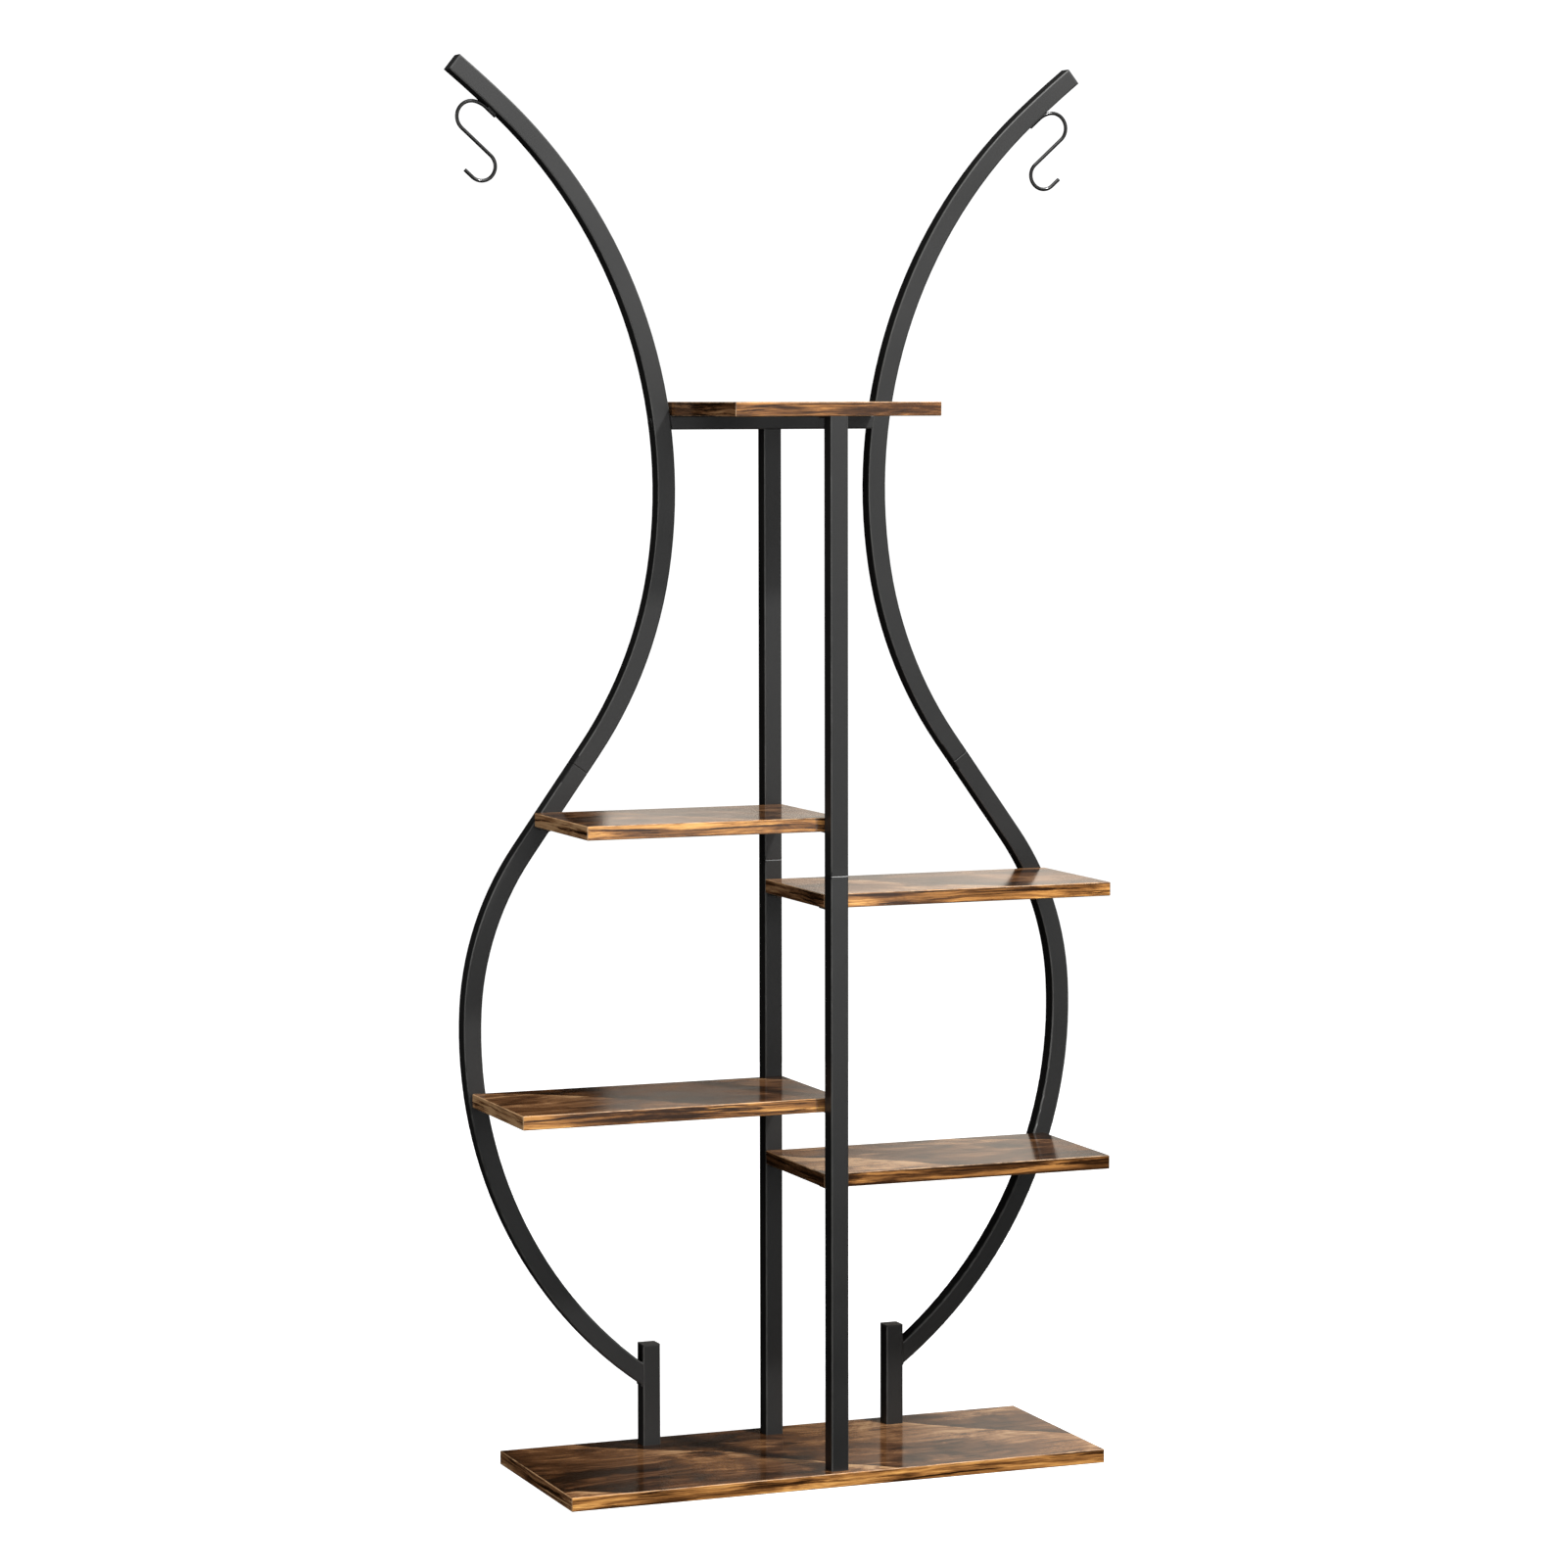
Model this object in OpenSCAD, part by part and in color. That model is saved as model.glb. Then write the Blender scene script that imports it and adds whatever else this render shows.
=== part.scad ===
// Free-standing plant stand: a base board, two straight square tubes that carry four side
// shelves and a top shelf, and two mirrored bent tubes that end in a hanging hook each.
// X is across the stand, Y from front to back, Z up from the floor.

/* [Tubes] */
// Outer width of the square tubes
tube_w = 20; // [17:0.5:22]
// Wall of the square tubes
tube_wall = 1.2; // [1:0.1:1.5]
// Outer corner radius of the square tubes
tube_corner = 1.8; // [1.6:0.1:2.6]
// Gap on each side between a tube and what plugs into it
plug_gap = 0.15; // [0.1:0.05:0.25]

/* [Boards] */
// Thickness of every board
board_t = 15; // [13:1:20]
// Depth of the side shelves, between the front and the rear upright
shelf_d = 172; // [150:1:200]
// Length of the base board
base_l = 615; // [560:5:680]
// Base board in front of the front upright
front_margin = 10; // [6:1:25]
// Base board behind the rear upright
back_margin = 18; // [8:1:30]
// Chamfer on the edges of the boards
edge_c = 0.8; // [0.4:0.1:1.2]

/* [Shelf heights] */
// Top face of the lower right shelf above the floor
lower_right_h = 333.5; // [300:0.5:370]
// How far the left shelf of a tier is above the right one
stagger = 82; // [60:1:100]
// From the lower tier to the upper tier
tier_h = 300.5; // [270:0.5:325]
// Top face of the top shelf above the floor
top_h = 1156; // [1110:1:1200]

/* [Shelf ends] */
// How far the upper left shelf stops short of the outer side of the bent tube
upper_left_inset = -1.7; // [-3:0.1:6.5]
// How far the upper right shelf stops short of the outer side of the bent tube
upper_right_inset = -0.3; // [-3:0.1:6.5]
// How far the lower left shelf stops short of the outer side of the bent tube
lower_left_inset = 3.8; // [-2:0.1:6.5]
// How far the lower right shelf stops short of the outer side of the bent tube
lower_right_inset = 6; // [-2:0.1:6.5]
// Gap between each end of the top shelf and the bent tube beside it
top_shelf_gap = 2; // [1:0.5:6]

/* [Bent tubes] */
// Distance from the middle of the stand to the plug joint of a bent tube
joint_x = 223.5; // [215:0.5:232]
// Height of the plug joint of a bent tube
joint_z = 762; // [740:1:785]
// Lean of the straight stretch at the plug joint, in degrees from upright
lean = 35.7; // [34:0.1:37]
// Straight stretch above the plug joint
straight_up = 25; // [25:1:40]
// Straight stretch below the plug joint
straight_down = 110; // [90:1:125]
// Bend radius above the straight stretch
shoulder_r = 450; // [430:5:470]
// Sweep of that bend, in degrees
shoulder_sweep = 26.5; // [24:0.5:29]
// Bend radius round the waist
waist_r = 548; // [530:2:570]
// Sweep of the waist bend, in degrees
waist_sweep = 57; // [54:0.5:60]
// Bend radius of the gentle bend at the tip
tip_r = 1150; // [900:50:1400]
// Sweep of the tip bend, in degrees
tip_sweep = 3.6; // [3:0.1:4.2]
// Bend radius below the straight stretch
belly_r = 316; // [300:2:332]
// Sweep of that bend, in degrees
belly_sweep = 32.5; // [30:0.5:34]
// Bend radius of the lowest bend, which runs to the foot post
hip_r = 480; // [465:5:495]

/* [Foot posts and cross bar] */
// Distance from the middle of the stand to the middle of a foot post
post_x = 144.5; // [130:0.5:160]
// How far a foot post stands above the end of the bent tube
post_rise = 18; // [8:1:30]
// Height of the cross bar under the top shelf
bar_h = 15; // [12:1:20]
// Thickness of the plastic end caps
cap_t = 2; // [1.5:0.5:4]
// Length of an end cap inside its tube
cap_plug_l = 12; // [8:1:20]

/* [Plug joints] */
// Height of the plug joint in the straight uprights
seam_h = 655; // [560:1:695]
// Length of the inner tube above and below that joint
spigot_l = 45; // [30:1:60]
// Length of the inner tube above the joint of a bent tube
arm_spigot_up = 24; // [18:1:25]
// Length of the inner tube below the joint of a bent tube
arm_spigot_down = 46; // [30:1:60]
// Wall of the inner tubes
spigot_wall = 1.5; // [1:0.1:2]
// Chamfer round the tube ends that meet at a plug joint, measured into the tube's wall
seam_c = 0.6; // [0.3:0.1:0.7]
// Length of that chamfer along each tube
seam_l = 0.9; // [0.5:0.1:1.4]

/* [Hooks] */
// Wire of the hooks
wire_d = 4; // [3:0.25:5]
// Length of wire that is welded along the underside of the tip
weld_l = 14; // [12:1:18]
// Middle of the weld, from the start of the tip bend
weld_at = 7.8; // [7.6:0.2:16]
// Bend radius where the wire leaves the tube
neck_r = 27.5; // [24:0.5:32]
// Sweep of that bend, in degrees
neck_sweep = 29; // [24:1:34]
// Bend radius of the upper loop
upper_loop_r = 16.5; // [15:0.5:18]
// Bend radius of the lower loop
lower_loop_r = 15.4; // [13:0.2:18]
// Length of the straight wire between the loops
hook_run = 42.5; // [38:0.5:47]
// Straight wire at the free end
tail_l = 11; // [6:0.5:14]

/* [Shelf tabs and screws] */
// Width of the welded tabs under the shelves
tab_w = 12; // [10:1:13]
// Reach of a tab under its shelf
tab_l = 25; // [18:1:32]
// Thickness of a tab
tab_t = 2; // [1.5:0.5:3]
// Shank of the wood screws
screw_d = 3.5; // [3:0.5:4.5]
// Length of a wood screw under its head
screw_l = 12; // [9:1:12]
// Distance from the middle of the stand to each screw in the cross bar
bar_screw_x = 60; // [30:1:90]
// Head of the wood screws, across
screw_head_d = 7.5; // [6.5:0.5:9]
// Head of the wood screws, high
screw_head_h = 2.2; // [1.6:0.2:3]

/* [Bolts] */
// Shank of the bolts that hold the tubes on the base board
foot_bolt_d = 8; // [6:1:8]
// Head of those bolts, across
foot_head_d = 15; // [13:1:16]
// Thickness of the threaded plates in the feet of the tubes
foot_plate_t = 6; // [4:1:10]
// Shank of the bolts through the bent tubes into the cross bar
bar_bolt_d = 5; // [4:0.5:6]
// Head of those bolts, across
bar_head_d = 11; // [9:1:12]
// Head of those bolts, high
bar_head_h = 1.2; // [1:0.2:2]
// Length of the threaded plugs in the ends of the cross bar
bar_plug_l = 18; // [14:1:24]

/* [Hidden] */

$fn = 48;
// Fragments of a full turn on the large bends
BEND_FN = 360;
// Small overlap that lets a cutting solid pass a face
CUT = 1;
BLACK = [0.09, 0.09, 0.1];
PLASTIC = [0.06, 0.06, 0.07];
STEEL = [0.62, 0.62, 0.64];
OAK = [0.56, 0.38, 0.22];

// Places from front to back
base_d = front_margin + tube_w + shelf_d + tube_w + back_margin;
front_face_y = -base_d / 2 + front_margin;
front_y = front_face_y + tube_w / 2;
shelf_front_y = front_face_y + tube_w;
shelf_back_y = shelf_front_y + shelf_d;
rear_y = shelf_back_y + tube_w / 2;
rear_face_y = shelf_back_y + tube_w;

// Heights of the faces
lower_left_h = lower_right_h + stagger;
upper_right_h = lower_right_h + tier_h;
upper_left_h = lower_left_h + tier_h;
top_under = top_h - board_t;
bar_under = top_under - bar_h;
bar_z = bar_under + bar_h / 2;

// Inside width of the tubes, and outside width of what plugs into them
bore_w = tube_w - 2 * tube_wall;
bore_corner = tube_corner - tube_wall + 0.2;
plug_w = bore_w - 2 * plug_gap;

// The middle line of the right bent tube, in a frame that starts at its plug joint and has the
// straight stretch on its Z axis. Each bend has a centre and the angle of its far end above +X.
function polar(r, angle) = r * [cos(angle), sin(angle)];
shoulder_c = [shoulder_r, straight_up];
shoulder_end = 180 - shoulder_sweep;
waist_c = shoulder_c + polar(shoulder_r - waist_r, shoulder_end);
waist_end = shoulder_end - waist_sweep;
tip_c = waist_c + polar(waist_r - tip_r, waist_end);
tip_end = waist_end - tip_sweep;
belly_c = [-belly_r, -straight_down];
belly_end = -belly_sweep;
hip_c = belly_c + polar(belly_r - hip_r, belly_end);

// The same points from the middle of the stand, at the floor
function stand(p) = [joint_x, joint_z] + [p[0] * cos(lean) - p[1] * sin(lean),
    p[0] * sin(lean) + p[1] * cos(lean)];
waist_centre = stand(waist_c);
belly_centre = stand(belly_c);
hip_centre = stand(hip_c);
tip_centre = stand(tip_c);
belly_top = stand([0, -straight_down]);
hip_top = stand(belly_c + polar(belly_r, belly_end));

// Where the outer side of the bent tube (side = 1), its middle line (0) or its inner side (-1)
// crosses a height below the waist
function crossing(c, r, z) = c[0] + sqrt(r * r - (z - c[1]) * (z - c[1]));
function arm_x(z, side) =
    let (off = side * tube_w / 2)
    z < hip_top[1] + off * sin(lean + belly_end) ? crossing(hip_centre, hip_r + off, z)
    : z < belly_top[1] + off * sin(lean) ? crossing(belly_centre, belly_r + off, z)
    : joint_x + (joint_z - z) * tan(lean) + off / cos(lean);
// The same at the waist, where the inner side is the one away from the bend's centre
function waist_x(z, side) = 2 * waist_centre[0] - crossing(waist_centre, waist_r - side * tube_w / 2, z);

// The bent tube ends on the outer face of its foot post
post_face = post_x + tube_w / 2;
land_run = post_face - hip_centre[0];
land_z = hip_centre[1] - sqrt((hip_r - tube_w / 2) * (hip_r - tube_w / 2) - land_run * land_run);
land_angle = -acos(land_run / (hip_r + tube_w / 2));
post_top = land_z + post_rise;

// Shelf ends, measured along X: the left shelves cover the upright from the left, the right
// ones from the right
upper_left_end = arm_x(upper_left_h - board_t / 2, 1) - upper_left_inset;
upper_right_end = arm_x(upper_right_h - board_t / 2, 1) - upper_right_inset;
lower_left_end = arm_x(lower_left_h - board_t / 2, 1) - lower_left_inset;
lower_right_end = arm_x(lower_right_h - board_t / 2, 1) - lower_right_inset;
shelf_end = waist_x(top_under, -1) - top_shelf_gap;

// Side shelves as [side, top face, outer end]
SHELVES = [[-1, upper_left_h, upper_left_end], [1, upper_right_h, upper_right_end],
    [-1, lower_left_h, lower_left_end], [1, lower_right_h, lower_right_end]];

// Screws sit in the middle of the free part of a tab
screw_reach = tab_l * 0.56;
pilot_gap = 0.1;
tab_hole_gap = 0.25;
pilot_spare = 0.5;
pilot_depth = screw_l - tab_t + pilot_spare;

// Places of the four feet that stand on the base board
FEET = [[0, front_y], [0, rear_y], [-post_x, rear_y], [post_x, rear_y]];
foot_bolt_gap = 0.25;
thread_gap = 0.05;
foot_head_sink = 0.2;
foot_hole_d = foot_bolt_d + 2 * foot_bolt_gap;
foot_bolt_l = board_t + foot_plate_t + 4;

// Bolts through the bent tubes into the cross bar
bar_bolt_x = waist_x(bar_z, -1);
bar_head_x = waist_x(bar_z, 1);
bar_bolt_in = bar_plug_l - 2;
bar_plug_in = 2;
bar_turn = asin((bar_z - waist_centre[1]) / waist_r);
bar_head_lift = bar_head_d * bar_head_d / (8 * (waist_r - tube_w / 2));

// The wood screws from the cross bar into the top shelf sit on the inside of the bar's upper
// wall, and go in through wider holes in its lower wall
bar_screw_z = top_under - tube_wall;
bar_pilot_depth = screw_l - tube_wall + pilot_spare;
head_gap = 0.75;

// Wire hooks: the wire lies against the underside of the tip, where the weld bead fills the corner
bead_l = weld_l - 4;
bead_w = wire_d * 0.7;
tip_inner_r = tip_r - tube_w / 2;
weld_r = sqrt(tip_inner_r * tip_inner_r - bead_l * bead_l / 4);
weld_turn = 90 - lean - waist_end + weld_at / tip_inner_r * 180 / PI;
neck_c = [weld_l, -neck_r];
upper_loop_c = neck_c + polar(neck_r - upper_loop_r, 90 - neck_sweep);
run_z = upper_loop_c[1] - upper_loop_r;
lower_loop_c = [upper_loop_c[0] - hook_run, run_z - lower_loop_r];

// Plan and profile helpers
module rounded(a, b, r) {
    square([a - 2 * r, b], center = true);
    square([a, b - 2 * r], center = true);
    for (sx = [-1, 1], sy = [-1, 1])
        translate([sx * (a / 2 - r), sy * (b / 2 - r)]) circle(r);
}

module tube_section() {
    difference() {
        rounded(tube_w, tube_w, tube_corner);
        rounded(bore_w, bore_w, bore_corner);
    }
}

module spigot_section() {
    difference() {
        rounded(plug_w, plug_w, bore_corner);
        square(plug_w - 2 * spigot_wall, center = true);
    }
}

// A straight tube that stands on its chamfered end, as at a plug joint
module jointed_tube(l) {
    slope = seam_c / seam_l;
    foot = tube_w / 2 - seam_c - CUT * slope;
    flare = tube_w / 2 + CUT;
    outline = [[-foot, -CUT], [foot, -CUT], [flare, (flare - foot) / slope - CUT], [flare, l + CUT],
        [-flare, l + CUT], [-flare, (flare - foot) / slope - CUT]];
    intersection() {
        linear_extrude(l) tube_section();
        translate([0, tube_w, 0]) rotate([90, 0, 0]) linear_extrude(2 * tube_w) polygon(outline);
        translate([-tube_w, 0, 0]) rotate([90, 0, 90]) linear_extrude(2 * tube_w) polygon(outline);
    }
}

// A rectangle with its corners cut off
module eased(a, b) {
    x = a / 2;
    y = b / 2;
    c = edge_c;
    polygon([[c - x, -y], [x - c, -y], [x, c - y], [x, y - c], [x - c, y], [c - x, y], [-x, y - c],
        [-x, c - y]]);
}

// A board from a low to a high corner, with all of its edges chamfered
module board(low, high) {
    size = high - low;
    translate((low + high) / 2) intersection() {
        translate([0, 0, -size[2] / 2]) linear_extrude(size[2]) eased(size[0], size[1]);
        translate([0, size[1] / 2, 0]) rotate([90, 0, 0]) linear_extrude(size[1])
            eased(size[0], size[2]);
        translate([-size[0] / 2, 0, 0]) rotate([90, 0, 90]) linear_extrude(size[0])
            eased(size[1], size[2]);
    }
}

// Moves in X and Z by steps of falling size, so that stretches meet exactly
module place(p) {
    whole = [round(p[0]), round(p[1])];
    part = [round((p[0] - whole[0]) * 1000), round((p[1] - whole[1]) * 1000)] / 1000;
    rest = p - whole - part;
    translate([whole[0], 0, whole[1]]) translate([part[0], 0, part[1]])
        translate([rest[0], 0, rest[1]]) children();
}

// A bend in the XZ plane about a centre, from a low to a high radius angle above +X
module bend(c, r, low, high) {
    place(c) rotate([90, 0, 0]) rotate_extrude(angle = high - low, start = low, $fn = BEND_FN)
        translate([r, 0]) children();
}

// From the frame of the right bent tube to its place in the stand
module arm_frame() {
    translate([joint_x, rear_y, joint_z]) rotate([0, -lean, 0]) children();
}

module right_arm_lower_shape() {
    difference() {
        arm_frame() {
            rotate([180, 0, 0]) jointed_tube(straight_down);
            bend(belly_c, belly_r, belly_end, 0) tube_section();
            bend(hip_c, hip_r, land_angle - lean - 2, belly_end) tube_section();
        }
        translate([post_face - 3 * tube_w, shelf_back_y - CUT, 0])
            cube([3 * tube_w, tube_w + 2 * CUT, land_z + 2 * tube_w]);
    }
}

module right_arm_upper_shape() {
    difference() {
        arm_frame() {
            jointed_tube(straight_up);
            bend(shoulder_c, shoulder_r, shoulder_end, 180) tube_section();
            bend(waist_c, waist_r, waist_end, shoulder_end) tube_section();
            bend(tip_c, tip_r, tip_end, waist_end) tube_section();
        }
        translate([bar_bolt_x - tube_w, rear_y, bar_z]) rotate([0, 90, 0])
            cylinder(h = 3 * tube_w, d = bar_bolt_d + 2 * foot_bolt_gap);
    }
}

// An upright's half, from the plug joint up or down to its other end
module upright(y, other_end) {
    translate([0, y, seam_h]) rotate([other_end > seam_h ? 0 : 180, 0, 0])
        jointed_tube(abs(other_end - seam_h));
}

module spigot_straight(y) {
    translate([0, y, seam_h - spigot_l]) linear_extrude(2 * spigot_l) spigot_section();
}

module arm_spigot_shape() {
    arm_frame() translate([0, 0, -arm_spigot_down]) linear_extrude(arm_spigot_up + arm_spigot_down)
        spigot_section();
}

// An end cap: a plate with the outline of the tube on a hollow plug
module cap_shape() {
    linear_extrude(cap_t) rounded(tube_w, tube_w, tube_corner);
    translate([0, 0, -cap_plug_l]) linear_extrude(cap_plug_l + CUT) spigot_section();
}

module arm_cap_shape() {
    arm_frame() place(tip_c + polar(tip_r, tip_end)) rotate([0, 180 - tip_end, 0]) cap_shape();
}

module post_shape() {
    translate([post_x, rear_y, board_t]) linear_extrude(post_top - board_t) tube_section();
}

// The wire of the hook, in a frame with X along the tube's underside: weld, neck, upper loop, a
// straight run back, lower loop and free end
module hook_wire() {
    rotate([0, 90, 0]) cylinder(h = weld_l, d = wire_d);
    bend(neck_c, neck_r, 90 - neck_sweep, 90) circle(d = wire_d);
    bend(upper_loop_c, upper_loop_r, -90, 90 - neck_sweep) circle(d = wire_d);
    place([lower_loop_c[0], run_z]) rotate([0, 90, 0]) cylinder(h = hook_run, d = wire_d);
    bend(lower_loop_c, lower_loop_r, 90, 270) circle(d = wire_d);
    place(lower_loop_c - [0, lower_loop_r]) rotate([0, 90, 0]) cylinder(h = tail_l, d = wire_d);
}

module right_hook_shape() {
    translate([tip_centre[0], rear_y, tip_centre[1]]) rotate([0, weld_turn, 0])
        place([-weld_l / 2, weld_r - wire_d / 2]) {
            hook_wire();
            translate([(weld_l - bead_l) / 2, -bead_w / 2, 0]) cube([bead_l, bead_w, wire_d / 2]);
        }
}

// Tabs: flat plates welded by one edge to a tube, under a shelf
module tab(x, face_y, under, reach_side) {
    translate([x, face_y, under - tab_t]) difference() {
        translate([-tab_w / 2, reach_side > 0 ? 0 : -tab_l, 0]) cube([tab_w, tab_l, tab_t]);
        translate([0, reach_side * screw_reach, -CUT])
            cylinder(h = tab_t + 2 * CUT, d = screw_d + 2 * tab_hole_gap);
    }
}

// The tab on a bent tube is set in a little from the tube's middle, to stay under its shelf
arm_tab_in = 3;
function arm_tab_x(s) = s[0] * (arm_x(s[1] - board_t - tab_t, 0) - arm_tab_in);

module wood_screw() {
    rotate_extrude() polygon([[0, -screw_head_h], [screw_head_d * 0.3, -screw_head_h],
        [screw_head_d * 0.46, -screw_head_h * 0.62], [screw_head_d / 2, -screw_head_h * 0.3],
        [screw_head_d / 2, 0], [screw_d / 2, 0], [screw_d / 2, screw_l - screw_d], [0, screw_l]]);
}

// Pilot holes in the underside of a side shelf
module shelf_pilots(s) {
    for (p = screw_places(s)) translate([p[0], p[1], s[1] - board_t - CUT])
        cylinder(h = pilot_depth + CUT, d = screw_d + 2 * pilot_gap);
}

function screw_places(s) = [[0, shelf_front_y + screw_reach], [0, shelf_back_y - screw_reach],
    [arm_tab_x(s), shelf_back_y - screw_reach]];

module side_shelf(s) {
    inner = -s[0] * tube_w / 2;
    outer = s[0] * s[2];
    difference() {
        board([min(inner, outer), shelf_front_y, s[1] - board_t],
            [max(inner, outer), shelf_back_y, s[1]]);
        shelf_pilots(s);
    }
}

module base_board() {
    color(OAK) difference() {
        board([-base_l / 2, -base_d / 2, 0], [base_l / 2, base_d / 2, board_t]);
        for (f = FEET) translate([f[0], f[1], -CUT]) {
            cylinder(h = board_t + 2 * CUT, d = foot_hole_d);
            cylinder(h = CUT + foot_head_sink + (foot_head_d - foot_hole_d) / 2,
                d1 = foot_head_d + 2 * (CUT + foot_head_sink), d2 = foot_hole_d);
        }
    }
}

module top_shelf() {
    color(OAK) difference() {
        board([-shelf_end, front_face_y, top_under], [shelf_end, rear_face_y, top_h]);
        translate([0, shelf_front_y + screw_reach, top_under - CUT])
            cylinder(h = pilot_depth + CUT, d = screw_d + 2 * pilot_gap);
        for (sx = [-1, 1]) translate([sx * bar_screw_x, rear_y, top_under - CUT])
            cylinder(h = bar_pilot_depth + CUT, d = screw_d + 2 * pilot_gap);
    }
}

module upper_left_shelf() { color(OAK) side_shelf(SHELVES[0]); }
module upper_right_shelf() { color(OAK) side_shelf(SHELVES[1]); }
module lower_left_shelf() { color(OAK) side_shelf(SHELVES[2]); }
module lower_right_shelf() { color(OAK) side_shelf(SHELVES[3]); }

module front_upright_lower() { color(BLACK) upright(front_y, board_t); }
module front_upright_upper() { color(BLACK) upright(front_y, top_under); }
module rear_upright_lower() { color(BLACK) upright(rear_y, board_t); }
module rear_upright_upper() { color(BLACK) upright(rear_y, bar_under); }

module right_arm_lower() { color(BLACK) right_arm_lower_shape(); }
module right_arm_upper() { color(BLACK) right_arm_upper_shape(); }
module left_arm_lower() { color(BLACK) mirror([1, 0, 0]) right_arm_lower_shape(); }
module left_arm_upper() { color(BLACK) mirror([1, 0, 0]) right_arm_upper_shape(); }
module right_foot_post() { color(BLACK) post_shape(); }
module left_foot_post() { color(BLACK) mirror([1, 0, 0]) post_shape(); }

// The cross bar's ends are coped to the inner sides of the bent tubes
module cross_bar() {
    color(BLACK) difference() {
        translate([-2 * shelf_end, rear_y, bar_z]) rotate([90, 0, 90]) linear_extrude(4 * shelf_end)
            difference() {
                rounded(tube_w, bar_h, tube_corner);
                rounded(bore_w, bar_h - 2 * tube_wall, bore_corner);
            }
        for (sx = [-1, 1]) {
            translate([sx * waist_centre[0], shelf_back_y - CUT, waist_centre[1]]) rotate([-90, 0, 0])
                cylinder(h = tube_w + 2 * CUT, r = waist_r + tube_w / 2, $fn = BEND_FN);
            translate([sx * bar_screw_x, rear_y, bar_screw_z - CUT])
                cylinder(h = tube_wall + 2 * CUT, d = screw_d + 2 * tab_hole_gap);
            translate([sx * bar_screw_x, rear_y, bar_under - CUT])
                cylinder(h = tube_wall + 2 * CUT, d = screw_head_d + 2 * head_gap);
        }
    }
}

module right_hook() { color(BLACK) right_hook_shape(); }
module left_hook() { color(BLACK) mirror([1, 0, 0]) right_hook_shape(); }

module front_upright_spigot() { color(STEEL) spigot_straight(front_y); }
module rear_upright_spigot() { color(STEEL) spigot_straight(rear_y); }
module right_arm_spigot() { color(STEEL) arm_spigot_shape(); }
module left_arm_spigot() { color(STEEL) mirror([1, 0, 0]) arm_spigot_shape(); }

module right_arm_cap() { color(PLASTIC) arm_cap_shape(); }
module left_arm_cap() { color(PLASTIC) mirror([1, 0, 0]) arm_cap_shape(); }
module right_post_cap() { color(PLASTIC) translate([post_x, rear_y, post_top]) cap_shape(); }
module left_post_cap() { color(PLASTIC) translate([-post_x, rear_y, post_top]) cap_shape(); }

// Threaded plates welded in the feet of the uprights and posts
module foot_plates() {
    color(STEEL) for (f = FEET) translate([f[0], f[1], board_t]) difference() {
        linear_extrude(foot_plate_t) rounded(bore_w, bore_w, bore_corner);
        translate([0, 0, -CUT]) cylinder(h = foot_plate_t + 2 * CUT, d = foot_bolt_d + 2 * thread_gap);
    }
}

// Flat-headed bolts with a hexagon socket, up through the base board
module base_bolts() {
    socket_r = 2.9;
    socket_h = 2.5;
    color(STEEL) for (f = FEET) translate([f[0], f[1], 0]) difference() {
        union() {
            translate([0, 0, foot_head_sink])
                cylinder(h = (foot_head_d - foot_bolt_d) / 2, d1 = foot_head_d, d2 = foot_bolt_d);
            translate([0, 0, foot_head_sink]) cylinder(h = foot_bolt_l, d = foot_bolt_d);
        }
        translate([0, 0, -CUT]) cylinder(h = socket_h + CUT, r = socket_r, $fn = 6);
    }
}

module front_upright_tabs() {
    color(BLACK) {
        for (s = SHELVES) tab(0, shelf_front_y, s[1] - board_t, 1);
        tab(0, shelf_front_y, top_under, 1);
    }
}

module rear_upright_tabs() {
    color(BLACK) for (s = SHELVES) tab(0, shelf_back_y, s[1] - board_t, -1);
}

module arm_tabs() {
    color(BLACK) for (s = SHELVES) tab(arm_tab_x(s), shelf_back_y, s[1] - board_t, -1);
}

module shelf_screws() {
    color(STEEL) {
        for (s = SHELVES, p = screw_places(s))
            translate([p[0], p[1], s[1] - board_t - tab_t]) wood_screw();
        translate([0, shelf_front_y + screw_reach, top_under - tab_t]) wood_screw();
    }
}

module top_shelf_screws() {
    color(STEEL) for (sx = [-1, 1]) translate([sx * bar_screw_x, rear_y, bar_screw_z])
        wood_screw();
}

// Threaded plugs in the ends of the cross bar
module cross_bar_plugs() {
    color(STEEL) for (sx = [-1, 1]) difference() {
        translate([sx * (bar_bolt_x - bar_plug_in - bar_plug_l / 2), rear_y, bar_z]) rotate([90, 0, 90])
            translate([0, 0, -bar_plug_l / 2]) linear_extrude(bar_plug_l)
            rounded(plug_w, bar_h - 2 * tube_wall - 2 * plug_gap, bore_corner);
        translate([sx * bar_bolt_x, rear_y, bar_z]) rotate([0, 90, 0]) translate([0, 0, -bar_plug_l * 2])
            cylinder(h = bar_plug_l * 4, d = bar_bolt_d + 2 * thread_gap);
    }
}

// Thin-headed bolts through the bent tubes, into the plugs
module cross_bar_bolts() {
    color(BLACK) for (sx = [0, 1]) mirror([sx, 0, 0]) translate([0, rear_y, bar_z]) {
        translate([bar_bolt_x - bar_bolt_in, 0, 0]) rotate([0, 90, 0])
            cylinder(h = bar_head_x - bar_bolt_x + bar_bolt_in, d = bar_bolt_d);
        translate([bar_head_x, 0, 0]) rotate([0, 90 + bar_turn, 0])
            translate([0, 0, bar_head_lift]) cylinder(h = bar_head_h, d = bar_head_d);
    }
}

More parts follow.
